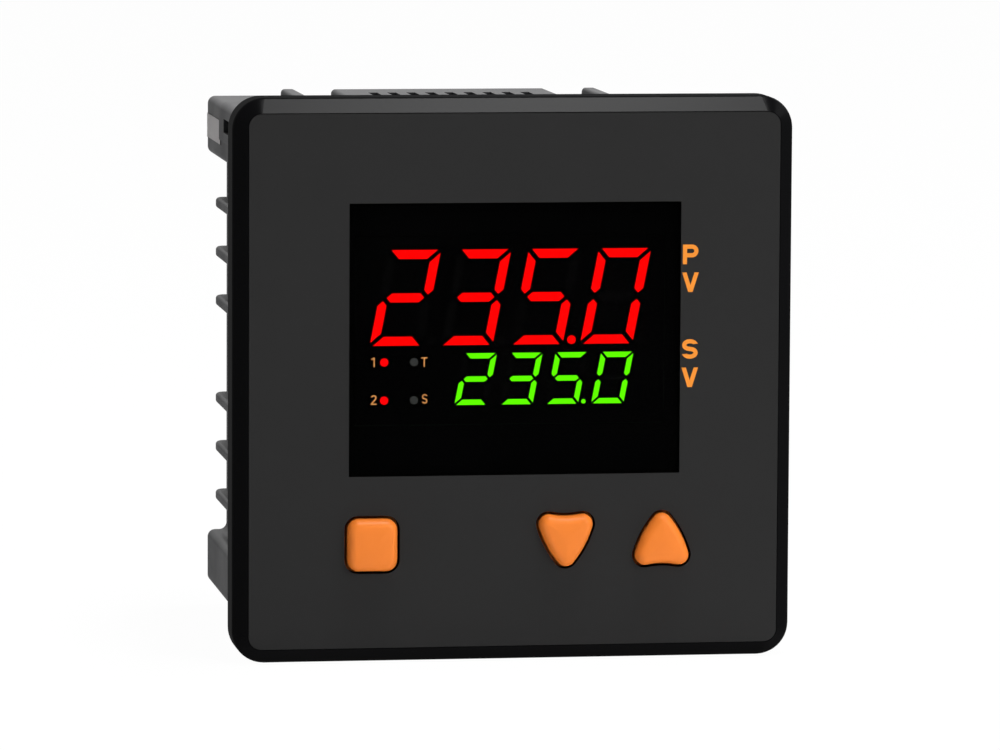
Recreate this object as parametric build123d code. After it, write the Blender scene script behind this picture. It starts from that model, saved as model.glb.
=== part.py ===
from build123d import *
import math
import os

# A panel-mounted temperature controller. Sizes are in millimetres. Seen from the front, X runs to the
# right and Z up, and Y runs from the front into the panel. The origin is the centre of the panel opening,
# in the plane where the front frame seats on the panel.

# Front frame and its collar
bezel_size = 96.0
bezel_depth = 9.3
bezel_corner_r = 5.5
bevel_width = 2.45
bevel_depth = 2.64
bevel_edge_r = 0.9
rim_corner_r = 2.4
rear_edge_r = 0.5
front_wall = 2.4
frame_overhang = 2.0
panel_opening_gap = 0.5
collar_wall = 1.1
collar_depth = 8.0
collar_corner_r = 3.2
overlay_thickness = 0.4
overlay_rim = 0.15
overlay_gap = 0.06
overlay_corner_r = 2.2

# Panel gasket
gasket_width = 1.5
gasket_thickness = 0.8
gasket_corner_r = 4.6

# Window and what stands behind it
window_width = 56.7
window_height = 46.3
window_centre_z = 7.05
window_gap = 0.05
lens_step = 0.6
lens_flange = 1.5
lens_flange_thickness = 0.8
flange_gap = 0.1
shroud_thickness = 1.0
shroud_setback = 0.1
shroud_inset = 0.9
shroud_leg = 3.0

# Digit display
display_width = 53.0
display_height = 32.0
display_centre_x = -0.6
display_centre_z = 8.4
display_setback = 0.2
display_gap = 0.2
digit_count = 4
digit_slant = 11.0
pocket_depth = 1.2
pv_height = 16.25
pv_width = 9.0
pv_stroke = 1.53
pv_gap = 0.78
pv_pitch = 12.03
pv_centre_x = -0.53
pv_centre_z = 14.05
pv_point_r = 0.73
sv_height = 8.8
sv_width = 5.57
sv_stroke = 0.9
sv_gap = 0.42
sv_pitch = 7.84
sv_centre_x = 5.28
sv_centre_z = 0.1
sv_point_r = 0.38
point_offset = 0.155
reading = "2350"
point_after = 2
lamp_r = 0.7
lamp_pitch_x = 5.1
lamp_pitch_z = 6.5
lamp_centre_x = -19.6
lamp_centre_z = -0.15

# Keys and the switches under them
key_pitch = 16.6
key_row_x = 0.5
key_row_z = -27.4
square_key_drop = 0.35
square_key_width = 8.5
square_key_height = 8.9
square_key_r = 1.9
arrow_key_width = 10.3
arrow_key_height = 10.5
arrow_bulge = 1.0
arrow_hollow = 1.1
arrow_tip_r = 1.7
arrow_foot_r = 1.7
key_proud = 2.2
key_edge_r = 1.4
key_gap = 0.5
key_flange = 0.9
key_flange_thickness = 0.8
key_travel = 0.8
switch_size = 6.0
switch_height = 3.5
switch_corner_r = 0.5
switch_roof = 1.0
plunger_r = 1.75
plunger_gap = 0.08
plunger_stroke_room = 0.4
plunger_foot = 0.6

# Boards
board_thickness = 1.6
display_board_gap = 1.4
board_corner_r = 1.5
board_hole_gap = 0.2
display_depth = 6.2
boss_side_gap = 0.9
boss_end_gap = 0.85
boss_r = 2.3
screw_pilot_r = 1.15
screw_shaft_r = 1.1
screw_head_r = 2.1
screw_head_height = 1.5
screw_head_edge_r = 0.5
screw_length = 6.0
drive_slot_width = 0.7
drive_slot_depth = 0.8
side_board_inset = 4.9
side_board_gap = 0.3
side_board_setback = 5.2
board_edge_gap = 0.4

# Moulded case
case_depth = 65.2
case_wall = 2.0
case_end_step = 1.75
case_side_step = 1.2
case_waist_depth = 3.4
upper_block_height = 10.25
lower_block_height = 9.45
case_edge_r = 1.3
case_inner_edge_r = 0.4
case_rear_edge_r = 1.0
case_flange_thickness = 2.0
case_flange_gap = 0.2
case_flange_corner_r = 3.0
case_start = 1.0
rib_start = 9.0
fin_proud = 0.4
fin_thickness = 1.9
fin_pitch = 8.65
fin_rows = 3
fin_setback = 15.9
fin_end_r = 1.8
fin_edge_r = 0.6
top_pattern_x = -2.6
top_fin_offset = 27.3
top_fin_thickness = 2.5
top_fin_rise = 1.15
top_pad_width = 38.8
top_pad_rise = 1.05
top_pad_edge_r = 0.8
vent_count = 9
vent_pitch = 3.41
vent_shift = 0.3
vent_width = 1.6
vent_start = 22.0
vent_setback = 10.6
guide_width = 1.4
guide_depth = 1.3
guide_gap = 0.2
guide_start = 8.0

# Latches between case and front frame, and catches for the panel clamps
latch_x = 22.0
latch_width = 8.0
latch_start = 3.6
latch_length = 2.0
latch_gap = 0.25
catch_rise = 0.35
catch_height = 6.3
catch_width_x = 3.7
catch_start = 20.0
catch_end = 43.3
catch_window_start = 25.3
catch_window_end = 36.1
catch_window_drop = 2.2
catch_window_height = 2.4
catch_window_margin = 0.5
rail_low = 7.3
rail_width = 4.3
rail_rise = 0.12
cut_margin = 1.0
alike = 1e-4

# Terminal blocks at the rear
terminal_end_gap = 1.5
terminal_pitch = 7.62
terminal_block_width = 13.8
terminal_block_depth = 14.5
terminal_opening_gap = 0.2
terminal_wall = 0.7
terminal_side_wall = 1.2
terminal_recess = 5.8
contact_thickness = 0.8
contact_width = 5.6
contact_length = 10.4
clamp_size = 5.4
clamp_thickness = 0.9
terminal_head_r = 2.5
terminal_head_height = 1.9
terminal_head_edge_r = 0.45
terminal_shaft_r = 1.5
terminal_shaft_length = 6.5
terminal_shaft_gap = 0.05
terminal_slot_width = 0.9
terminal_slot_depth = 0.9
label_width = 34.0
label_height = 77.0
label_depth = 0.3

# Electronic parts on the boards
chip_size = 12.0
chip_height = 1.4
crystal_length = 11.0
crystal_width = 4.6
crystal_height = 3.5
crystal_drop = 14.0
header_pins_each = 10
header_pitch = 2.54
header_width = 2.6
header_height = 2.5
header_pin_size = 0.64
header_pin_reach = 1.6
relay_length = 19.0
relay_width = 15.5
relay_height = 15.4
relay_edge_r = 0.8
relay_to_block = 20.7
relay_upper_z = 20.0
relay_gap_z = 3.0
converter_length = 10.3
converter_width = 7.5
converter_height = 2.3
converter_y = 14.0
converter_z = -26.0
opto_length = 6.5
opto_width = 4.6
opto_height = 3.5
opto_to_block = 20.7
opto_z = -22.0
opto_pitch = 8.0
core_length = 24.0
core_depth = 10.0
core_height = 12.0
core_back = 2.4
core_leg = 6.0
core_window = 5.0
winding_gap = 0.15
winding_overhang = 5.0
transformer_base_height = 2.0
transformer_y = 22.0
transformer_z = -16.0
filter_cap_r = 6.0
filter_cap_length = 20.0
filter_cap_y = 20.0
filter_cap_z = 14.0
output_cap_r = 4.0
output_cap_length = 12.0
output_cap_to_block = 14.7
output_cap_z = 8.0
cap_edge_r = 0.7
fuse_r = 4.2
fuse_length = 8.0
fuse_to_block = 8.7
fuse_z = 24.0
varistor_r = 5.0
varistor_thickness = 4.0
varistor_to_block = 10.7
varistor_z = -24.0
varistor_edge_r = 0.8

# Worked out from the sizes above
front_y = -bezel_depth
bevel_end_y = front_y + bevel_depth
rim_size = bezel_size - 2 * bevel_width
overlay_size = rim_size - 2 * overlay_rim
recess_floor_y = front_y + overlay_thickness
wall_back_y = recess_floor_y + front_wall
panel_opening = bezel_size - 2 * frame_overhang
collar_size = panel_opening - 2 * panel_opening_gap
cavity_size = collar_size - 2 * collar_wall
lens_seat_y = recess_floor_y + lens_step
lens_back_y = lens_seat_y + lens_flange_thickness
shroud_front_y = lens_back_y + shroud_setback
display_front_y = lens_back_y + display_setback
board_front_y = display_front_y + display_depth
board_back_y = board_front_y + board_thickness
key_flange_y = wall_back_y + flange_gap
key_flange_back_y = key_flange_y + key_flange_thickness
switch_top_y = board_front_y - switch_height
case_half_height = collar_size / 2 - case_end_step
corner_block_x = collar_size / 2 - case_side_step
case_waist_x = corner_block_x - case_waist_depth
fin_reach = corner_block_x + fin_proud
fin_end = case_depth - fin_setback
vent_end = case_depth - vent_setback
catch_low = case_half_height - catch_height
side_board_x = case_waist_x - case_wall - side_board_inset
side_board_end = case_depth - side_board_setback
side_board_start = board_back_y + side_board_gap
display_board_size = cavity_size - 2 * display_board_gap
boss_x = side_board_x + board_thickness + screw_head_r + boss_side_gap
boss_z = case_half_height - case_wall - screw_head_r - boss_end_gap
side_board_half = case_half_height - case_wall - board_edge_gap
case_flange_size = cavity_size - 2 * case_flange_gap
terminal_count = int((case_half_height - case_wall - terminal_end_gap) * 2 / terminal_pitch)
opening_height = terminal_count * terminal_pitch
block_front_y = case_depth - terminal_block_depth
relay_y = block_front_y - relay_to_block
opto_y = block_front_y - opto_to_block
output_cap_y = block_front_y - output_cap_to_block
fuse_y = block_front_y - fuse_to_block
varistor_y = block_front_y - varistor_to_block
recess_y = case_depth - terminal_recess
terminal_x = side_board_x - terminal_block_width / 2

SEGMENTS = {
    "0": "abcdef", "1": "bc", "2": "abged", "3": "abgcd", "4": "fgbc",
    "5": "afgcd", "6": "afgedc", "7": "abc", "8": "abcdefg", "9": "abcdfg",
}


def block(x, y, z):
    """A box from the low and high ends along each axis."""
    centre = Pos(sum(x) / 2, sum(y) / 2, sum(z) / 2)
    return centre * Box(x[1] - x[0], y[1] - y[0], z[1] - z[0])


def around(centre, size):
    """The low and high ends of a length about its centre."""
    return (centre - size / 2, centre + size / 2)


def prism(sketch, start, end):
    """A front-view sketch, X right and Z up, drawn out from one depth to another."""
    face = Plane.XZ.offset(-start) * sketch
    return extrude(face, amount=end - start, dir=(0, 1, 0))


def post(x, z, radius, start, end):
    """A round post along Y."""
    return prism(Pos(x, z) * Circle(radius), start, end)


def stud(y, z, radius, start, end):
    """A round post along X."""
    return extrude(Plane.YZ.offset(start) * (Pos(y, z) * Circle(radius)), amount=end - start)


def ring_edges(shape, depth):
    """The edges that lie wholly at one depth."""
    return shape.edges().filter_by(lambda e: abs(e.bounding_box().min.Y - depth) < alike
                                   and abs(e.bounding_box().max.Y - depth) < alike)


def mirrored(shape):
    """The same piece on the other side of the object."""
    return mirror(shape, about=Plane.YZ)


def arc_size(chord, rise):
    """The radius of an arc from its chord and its rise."""
    return (chord * chord / 4 + rise * rise) / (2 * rise)


def arrow_outline(turn, grow):
    """A rounded triangle with bowed sides and a hollow foot, pointing up before it is turned."""
    tip = Vector(0, arrow_key_height / 2)
    foot = Vector(arrow_key_width / 2, -arrow_key_height / 2)
    side = foot - tip
    outward = Vector(-side.Y, side.X).normalized()
    side_r = arc_size(side.length, arrow_bulge)
    side_centre = (tip + foot) / 2 + outward * (arrow_bulge - side_r)
    foot_r = arc_size(arrow_key_width, arrow_hollow)
    foot_centre = Vector(0, foot.Y + arrow_hollow - foot_r)
    side_r += grow
    foot_r -= grow
    apart = side_centre - foot_centre
    along = (foot_r ** 2 - side_r ** 2 + apart.length ** 2) / (2 * apart.length)
    across = math.sqrt(foot_r ** 2 - along ** 2)
    unit = apart.normalized()
    right = foot_centre + unit * along + Vector(unit.Y, -unit.X) * across
    left = Vector(-right.X, right.Y)
    tip = Vector(0, side_centre.Y + math.sqrt(side_r ** 2 - side_centre.X ** 2))
    right_middle = side_centre + outward * side_r
    left_middle = Vector(-right_middle.X, right_middle.Y)
    foot_middle = foot_centre + Vector(0, foot_r)
    sketch = make_face(Wire([ThreePointArc(tip, left_middle, left), ThreePointArc(left, foot_middle, right),
                             ThreePointArc(right, right_middle, tip)]))
    sketch = fillet(sketch.vertices().sort_by(Axis.Y)[-1:], arrow_tip_r + grow)
    feet = sketch.vertices().filter_by(lambda v: abs(abs(v.X) - right.X) < alike)
    return Rot(0, 0, turn) * fillet(feet, arrow_foot_r + grow)


def square_outline(grow):
    """The outline of the square key."""
    return RectangleRounded(square_key_width + 2 * grow, square_key_height + 2 * grow, square_key_r + grow)


def key_places():
    """The centre of each key's opening, by the key's name."""
    return {
        "mode": (key_row_x - 1.5 * key_pitch, key_row_z - square_key_drop),
        "down": (key_row_x + 0.5 * key_pitch, key_row_z),
        "up": (key_row_x + 1.5 * key_pitch, key_row_z),
    }


def key_outline(name, grow=0.0):
    """A key's outline in its place, grown evenly all round."""
    outlines = {"mode": lambda: square_outline(grow), "down": lambda: arrow_outline(180, grow),
                "up": lambda: arrow_outline(0, grow)}
    x, z = key_places()[name]
    return Pos(x, z) * outlines[name]()


def boss_places():
    """The four corners where the display board is screwed to the front frame."""
    return [(sx * boss_x, sz * boss_z) for sx in (-1, 1) for sz in (-1, 1)]


def latch_places():
    """Where the case snaps into the collar: two latches on top and two below."""
    return [(sx * latch_x, side) for sx in (-1, 1) for side in (-1, 1)]


def window_sketch(grow):
    """The window's outline, grown by an even margin."""
    return Pos(0, window_centre_z) * Rectangle(window_width + 2 * grow, window_height + 2 * grow)


def bezel_frame():
    """The moulded front frame with its bevelled edge, collar, openings and bosses."""
    rim = RectangleRounded(rim_size, rim_size, rim_corner_r)
    full = RectangleRounded(bezel_size, bezel_size, bezel_corner_r)
    bevel = loft([Plane.XZ.offset(-front_y) * rim, Plane.XZ.offset(-bevel_end_y) * full])
    body = bevel + prism(full, bevel_end_y, 0)
    body = fillet(ring_edges(body, bevel_end_y), bevel_edge_r)
    body = fillet(ring_edges(body, 0), rear_edge_r)
    body += prism(RectangleRounded(collar_size, collar_size, collar_corner_r), 0, collar_depth)
    body -= prism(RectangleRounded(cavity_size, cavity_size, collar_corner_r - collar_wall),
                  wall_back_y, collar_depth)
    body -= prism(RectangleRounded(overlay_size + 2 * overlay_gap, overlay_size + 2 * overlay_gap,
                                   overlay_corner_r), front_y, recess_floor_y)
    body -= prism(window_sketch(window_gap), recess_floor_y, wall_back_y)
    body -= prism(window_sketch(lens_flange + flange_gap), lens_seat_y, wall_back_y)
    for name in key_places():
        body -= prism(key_outline(name, key_gap), recess_floor_y, wall_back_y)
    for x, z in boss_places():
        body += post(x, z, boss_r, wall_back_y, board_front_y)
        body -= post(x, z, screw_pilot_r, wall_back_y, board_front_y)
    for x, side in latch_places():
        wall = sorted((side * collar_size / 2, side * cavity_size / 2))
        body -= block(around(x, latch_width + 2 * latch_gap),
                      (latch_start - latch_gap, latch_start + latch_length + latch_gap), wall)
    return body - gasket_ring(gasket_thickness)


def gasket_ring(thickness):
    """A flat square ring in the rear of the frame, round the collar."""
    outer = collar_size + 2 * gasket_width
    ring = RectangleRounded(outer, outer, gasket_corner_r)
    ring -= RectangleRounded(collar_size, collar_size, collar_corner_r)
    return prism(ring, -thickness, 0)


def front_overlay():
    """The thin front sheet, open at the window and the keys."""
    sheet = prism(RectangleRounded(overlay_size, overlay_size, overlay_corner_r), front_y, recess_floor_y)
    sheet -= prism(window_sketch(window_gap), front_y, recess_floor_y)
    for name in key_places():
        sheet -= prism(key_outline(name, key_gap), front_y, recess_floor_y)
    return sheet


def display_lens():
    """The smoked window: a flush pane on a wider flange that seats behind the frame."""
    pane = prism(window_sketch(0), front_y, lens_seat_y)
    return pane + prism(window_sketch(lens_flange), lens_seat_y, lens_back_y)


def display_outline(grow):
    """The display module's front outline, grown by an even margin."""
    return Pos(display_centre_x, display_centre_z) * Rectangle(display_width + 2 * grow,
                                                               display_height + 2 * grow)


def display_shroud():
    """The black frame round the display, on four legs that stand on the board."""
    back = shroud_front_y + shroud_thickness
    plate = prism(window_sketch(lens_flange - shroud_inset), shroud_front_y, back)
    plate -= prism(display_outline(display_gap), shroud_front_y, back)
    half_x = window_width / 2 + lens_flange - shroud_inset - shroud_leg / 2
    half_z = window_height / 2 + lens_flange - shroud_inset - shroud_leg / 2
    for sx in (-1, 1):
        for sz in (-1, 1):
            plate += block(around(sx * half_x, shroud_leg / 2), (back, board_front_y),
                           around(window_centre_z + sz * half_z, shroud_leg))
    return plate


def stroke_outlines(height, width, stroke, gap):
    """The seven strokes of a digit as corner points, upright and centred on the digit."""
    half_x, half_z = (width - stroke) / 2, (height - stroke) / 2
    t, g = stroke / 2, gap / math.sqrt(2)

    def beam(x0, x1, z, up):
        """A level stroke; up is 1 or -1 at the digit's outer edge and 0 in the middle."""
        if up == 0:
            return [(x0 + g, z), (x0 + g + t, z + t), (x1 - g - t, z + t), (x1 - g, z),
                    (x1 - g - t, z - t), (x0 + g + t, z - t)]
        return [(x0 - t + g, z + up * t), (x1 + t - g, z + up * t), (x1 - t - g, z - up * t),
                (x0 + t + g, z - up * t)]

    def bar(side, up):
        """An upright stroke: its tip is at the middle and its slanted end at the digit's outer corner."""
        x, inner, outer = side * half_x, side * (half_x - t), side * (half_x + t)
        return [(x, up * g), (outer, up * (g + t)), (outer, up * (half_z + t - g)),
                (inner, up * (half_z - t - g)), (inner, up * (g + t))]

    return {"a": beam(-half_x, half_x, half_z, 1), "d": beam(-half_x, half_x, -half_z, -1),
            "g": beam(-half_x, half_x, 0, 0), "b": bar(1, 1), "c": bar(1, -1), "f": bar(-1, 1),
            "e": bar(-1, -1)}


def display_rows():
    """Each row's digit size, stroke, gap, pitch, centre and point radius."""
    return {
        "pv": (pv_height, pv_width, pv_stroke, pv_gap, pv_pitch, pv_centre_x, pv_centre_z, pv_point_r),
        "sv": (sv_height, sv_width, sv_stroke, sv_gap, sv_pitch, sv_centre_x, sv_centre_z, sv_point_r),
    }


def row_strokes(row):
    """All strokes and points of a row, as pairs of a lit flag and a sketch."""
    height, width, stroke, gap, pitch, centre_x, centre_z, point_r = display_rows()[row]
    lean = math.tan(math.radians(digit_slant))
    outlines = stroke_outlines(height, width, stroke, gap)
    found = []
    for index in range(digit_count):
        x = centre_x + (index - (digit_count - 1) / 2) * pitch
        for name, points in outlines.items():
            slanted = [(x + px + pz * lean, centre_z + pz) for px, pz in points]
            lit = name in SEGMENTS[reading[index]]
            found.append((lit, make_face(Polyline(*slanted, close=True))))
        point_z = -height / 2 + point_r
        point_x = x + width / 2 + point_offset * width + point_z * lean
        found.append((index == point_after, Pos(point_x, centre_z + point_z) * Circle(point_r)))
    return found


def row_solids(row, lit):
    """The lit or the unlit strokes of a row, as separate solids set flush in the display's face."""
    return [prism(face, display_front_y, display_front_y + pocket_depth)
            for is_lit, face in row_strokes(row) if is_lit == lit]


def lamp_places(lit):
    """The indicator lamps: the left column is lit and the right one dark."""
    x = lamp_centre_x + (-lamp_pitch_x / 2 if lit else lamp_pitch_x / 2)
    return [(x, lamp_centre_z + side * lamp_pitch_z / 2) for side in (1, -1)]


def lamp_solids(lit):
    """The lit or the dark indicator lamps."""
    return [post(x, z, lamp_r, display_front_y, display_front_y + pocket_depth)
            for x, z in lamp_places(lit)]


def display_module():
    """The display's black housing, with a pocket for each stroke, point and lamp."""
    housing = prism(display_outline(0), display_front_y, board_front_y)
    pockets = []
    for row in ("pv", "sv"):
        pockets += row_solids(row, True) + row_solids(row, False)
    pockets += lamp_solids(True) + lamp_solids(False)
    return housing - pockets


def group(solids):
    """Separate solids kept together in one node."""
    return Compound(children=list(solids))


def key_cap(name):
    """A key cap: a rounded head that stands proud of the front, on a flange that stops it."""
    head = prism(key_outline(name), front_y - key_proud, key_flange_back_y)
    head = fillet(ring_edges(head, front_y - key_proud), key_edge_r)
    return head + prism(key_outline(name, key_flange), key_flange_y, key_flange_back_y)


def switch_plunger(x, z):
    """The push switch's plunger, with a foot that keeps it in the switch."""
    foot_y = switch_top_y + switch_roof
    stem = post(x, z, plunger_r, key_flange_back_y, foot_y)
    return stem + post(x, z, plunger_r + plunger_foot, foot_y, foot_y + plunger_foot)


def switch_body(x, z):
    """The push switch's body, hollow where the plunger travels."""
    square = Pos(x, z) * RectangleRounded(switch_size, switch_size, switch_corner_r)
    body = prism(square, switch_top_y, board_front_y)
    roof_y = switch_top_y + switch_roof - plunger_gap
    body -= post(x, z, plunger_r + plunger_gap, switch_top_y, roof_y)
    floor_y = roof_y + plunger_foot + key_travel + plunger_stroke_room
    return body - post(x, z, plunger_r + plunger_foot + plunger_gap, roof_y, floor_y)


def display_board():
    """The display board, screwed to the bosses behind the front frame."""
    outline = RectangleRounded(display_board_size, display_board_size, board_corner_r)
    board = prism(outline, board_front_y, board_back_y)
    for x, z in boss_places():
        board -= post(x, z, screw_shaft_r + board_hole_gap, board_front_y, board_back_y)
    return board


def pan_screw(x, z):
    """A pan-head screw with a cross recess, driven from the rear into a boss."""
    head_end = board_back_y + screw_head_height
    head = post(x, z, screw_head_r, board_back_y, head_end)
    head = fillet(ring_edges(head, head_end), screw_head_edge_r)
    for across, along in ((screw_head_r, drive_slot_width), (drive_slot_width, screw_head_r)):
        head -= block(around(x, across), (head_end - drive_slot_depth, head_end), around(z, along))
    return head + post(x, z, screw_shaft_r, board_back_y - screw_length, board_back_y)


def case_section(inset):
    """The case's cross-section: a waist between wider bands at the top and bottom."""
    half_z = case_half_height - inset
    waist = Rectangle(2 * (case_waist_x - inset), 2 * half_z)
    for side, height in ((1, upper_block_height), (-1, lower_block_height)):
        low = case_half_height - height + inset
        waist += Pos(0, side * (half_z + low) / 2) * Rectangle(2 * (corner_block_x - inset), half_z - low)
    return fillet(waist.vertices(), max(case_edge_r - inset, case_inner_edge_r))


def side_fin(z):
    """A fin on the right side, rounded at its rear corner and along its edges."""
    root = case_waist_x - case_wall / 2
    profile = Plane.XY.offset(z - fin_thickness / 2) * (
        Pos((root + fin_reach) / 2, (rib_start + fin_end) / 2)
        * Rectangle(fin_reach - root, fin_end - rib_start))
    fin = extrude(profile, amount=fin_thickness)
    corner = fin.edges().filter_by(Axis.Z).group_by(Axis.X)[-1].sort_by(Axis.Y)[-1]
    fin = fillet(corner, fin_end_r)
    outer = fin.edges().filter_by(lambda e: e.bounding_box().max.X > fin_reach - fin_end_r
                                  and e.bounding_box().size.Z < alike
                                  and e.bounding_box().max.Y > rib_start + fin_end_r)
    return fillet(outer, fin_edge_r)


def top_fin(x):
    """A fin on the case's top, rounded at its rear corner and along its edges."""
    base = case_half_height - case_wall / 2
    top = case_half_height + top_fin_rise
    fin = block(around(x, top_fin_thickness), (rib_start, case_depth), (base, top))
    corner = fin.edges().filter_by(Axis.X).group_by(Axis.Z)[-1].sort_by(Axis.Y)[-1]
    fin = fillet(corner, top_fin_rise)
    outer = fin.edges().filter_by(lambda e: e.bounding_box().max.Z > case_half_height + top_fin_rise / 2
                                  and e.bounding_box().size.X < alike
                                  and e.bounding_box().size.Y > case_edge_r)
    return fillet(outer, fin_edge_r)


def vent_pad():
    """The raised pad that carries the vent slots."""
    top = case_half_height + top_pad_rise
    pad = block(around(top_pattern_x, top_pad_width), (rib_start, case_depth),
                (case_half_height - case_wall / 2, top))
    edges = pad.edges().filter_by(lambda e: e.bounding_box().min.Z > top - alike
                                  and e.bounding_box().max.Y > rib_start + top_pad_edge_r)
    return fillet(edges, top_pad_edge_r)


def vent_slots():
    """The row of slots through the pad and the wall under it."""
    top = case_half_height + top_pad_rise
    slots = []
    for index in range(vent_count):
        x = top_pattern_x + vent_shift + (index - (vent_count - 1) / 2) * vent_pitch
        slots.append(block(around(x, vent_width), (vent_start, vent_end),
                           (case_half_height - case_wall, top)))
    return slots


def diagonal(shape):
    """The same piece turned half round to the opposite corner."""
    return Rot(0, 180, 0) * shape


def clamp_rail():
    """The slightly raised rail on the upper left corner block, on which a panel clamp slides."""
    top = case_half_height - rail_low + rail_width
    return block((-corner_block_x - rail_rise, -corner_block_x + case_wall / 2),
                 (catch_end, case_depth - case_rear_edge_r), (top - rail_width, top))


def clamp_catch():
    """The raised catch for a panel clamp, round the upper left corner of the case."""
    outer_x, outer_z = corner_block_x + catch_rise, case_half_height + catch_rise
    catch = block((-outer_x, catch_width_x - corner_block_x), (catch_start, catch_end), (catch_low, outer_z))
    corner = catch.edges().filter_by(Axis.Y).sort_by(lambda e: e.center().Z - e.center().X)[-1]
    return fillet(corner, case_edge_r + catch_rise)


def case_shell():
    """The moulded case: waisted shell, flange, fins, vents, catches, board guides and rear openings."""
    body = prism(case_section(0), case_start, case_depth)
    body = fillet(ring_edges(body, case_depth), case_rear_edge_r)
    for raised in (clamp_catch(), clamp_rail()):
        body += [raised, diagonal(raised)]
    flange = RectangleRounded(case_flange_size, case_flange_size, case_flange_corner_r)
    body += prism(flange, case_start, case_start + case_flange_thickness)
    for row in range(1, fin_rows + 1):
        for z in (row * fin_pitch, -row * fin_pitch):
            fin = side_fin(z)
            body += [fin, mirrored(fin)]
    tops = [top_fin(top_pattern_x - top_fin_offset), top_fin(top_pattern_x + top_fin_offset), vent_pad()]
    body += tops + [mirror(piece, about=Plane.XY) for piece in tops]
    for x, side in latch_places():
        lug = sorted((side * (case_half_height - case_wall / 2), side * (collar_size / 2 - latch_gap)))
        body += block(around(x, latch_width), (latch_start, latch_start + latch_length), lug)
    body -= prism(case_section(case_wall), case_start, case_depth - case_wall)
    slots = vent_slots()
    body -= slots + [mirror(slot, about=Plane.XY) for slot in slots]
    body -= catch_windows() + rear_openings()
    return body + board_guides()


def catch_windows():
    """The openings at the two catches, through the side wall under the corner of the case."""
    top = case_half_height - catch_window_drop
    cut = block((-corner_block_x - cut_margin, case_wall + catch_window_margin - corner_block_x),
                (catch_window_start, catch_window_end), (top - catch_window_height, top))
    return [cut, diagonal(cut)]


def rear_openings():
    """The two tall openings for the terminal blocks and the shallow label recess between them."""
    wall = (case_depth - case_wall, case_depth)
    width = terminal_block_width + 2 * terminal_opening_gap
    height = opening_height + 2 * terminal_opening_gap
    cuts = [block(around(side * terminal_x, width), wall, around(0, height)) for side in (-1, 1)]
    label = block(around(0, label_width), (case_depth - label_depth, case_depth), around(0, label_height))
    return cuts + [label]


def board_guides():
    """The ribs at the top and bottom that hold the edges of the two side boards."""
    inside = case_half_height - case_wall
    ribs = []
    for near in (side_board_x - guide_gap - guide_width, side_board_x + board_thickness + guide_gap):
        rib = block((near, near + guide_width), (guide_start, case_depth - case_wall),
                    (inside - guide_depth, inside))
        ribs += [rib, mirrored(rib), mirror(rib, about=Plane.XY), mirror(mirrored(rib), about=Plane.XY)]
    return ribs


def side_board():
    """The right-hand board, upright and running from front to rear."""
    return block((side_board_x, side_board_x + board_thickness), (side_board_start, side_board_end),
                 (-side_board_half, side_board_half))


def board_header():
    """The right-hand plug strip in the corner between the display board and the side board."""
    return block((side_board_x - header_width, side_board_x),
                 (board_back_y, board_back_y + header_height), around(0, header_pins_each * header_pitch))


def header_pins():
    """The bent pins of the right-hand plug strip, soldered to the side board."""
    start = board_back_y + header_height
    x = side_board_x - header_width / 2
    pins = []
    for index in range(header_pins_each):
        z = (index - (header_pins_each - 1) / 2) * header_pitch
        upright = block(around(x, header_pin_size), (start, start + header_pin_reach),
                        around(z, header_pin_size))
        foot = block((x - header_pin_size / 2, side_board_x),
                     (start + header_pin_reach - header_pin_size, start + header_pin_reach),
                     around(z, header_pin_size))
        pins.append(upright + foot)
    return pins


def terminal_rows():
    """The height of each terminal."""
    return [(index - (terminal_count - 1) / 2) * terminal_pitch for index in range(terminal_count)]


def terminal_block():
    """The right-hand terminal block, with a recess and a screw hole for each wire."""
    body = block((side_board_x - terminal_block_width, side_board_x),
                 (block_front_y, case_depth), around(0, opening_height))
    for z in terminal_rows():
        body -= block((side_board_x - terminal_block_width + terminal_side_wall,
                       side_board_x - terminal_side_wall), (recess_y, case_depth),
                      around(z, terminal_pitch - 2 * terminal_wall))
        depth = terminal_shaft_length - contact_thickness - clamp_thickness + terminal_shaft_gap
        body -= post(terminal_x, z, terminal_shaft_r + terminal_shaft_gap, recess_y - depth, recess_y)
    return body


def drilled_plate(z, length, width, start, thickness):
    """A plate under a terminal screw, with a clearance hole."""
    plate = block(around(terminal_x, length), (start, start + thickness), around(z, width))
    return plate - post(terminal_x, z, terminal_shaft_r + 2 * terminal_shaft_gap, start, start + thickness)


def contact_plate(z):
    """The fixed plate on the floor of a terminal's recess."""
    return drilled_plate(z, contact_length, contact_width, recess_y, contact_thickness)


def clamp_plate(z):
    """The square plate that presses the wire."""
    return drilled_plate(z, clamp_size, clamp_size, recess_y + contact_thickness, clamp_thickness)


def terminal_screw(z):
    """A slotted screw that clamps a wire."""
    seat = recess_y + contact_thickness + clamp_thickness
    top = seat + terminal_head_height
    head = post(terminal_x, z, terminal_head_r, seat, top)
    head = fillet(ring_edges(head, top), terminal_head_edge_r)
    head -= block(around(terminal_x, 2 * terminal_head_r), (top - terminal_slot_depth, top),
                  around(z, terminal_slot_width))
    return head + post(terminal_x, z, terminal_shaft_r, seat - terminal_shaft_length, seat)


def on_right_board(y, z, length_y, length_z, height, base=0.0):
    """A block that stands on the inner face of the right-hand board."""
    foot = side_board_x - base
    return block((foot - height, foot), around(y, length_y), around(z, length_z))


def softened(shape, radius):
    """A block with all its edges slightly rounded."""
    return fillet(shape.edges(), radius)


def relay(z):
    """A sealed relay on the left-hand board."""
    return mirrored(softened(on_right_board(relay_y, z, relay_width, relay_length, relay_height),
                             relay_edge_r))


def optocouplers():
    """A row of optocouplers on the left-hand board."""
    return [mirrored(on_right_board(opto_y + side * opto_pitch / 2, opto_z, opto_width, opto_length,
                                    opto_height)) for side in (-1, 1)]


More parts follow.
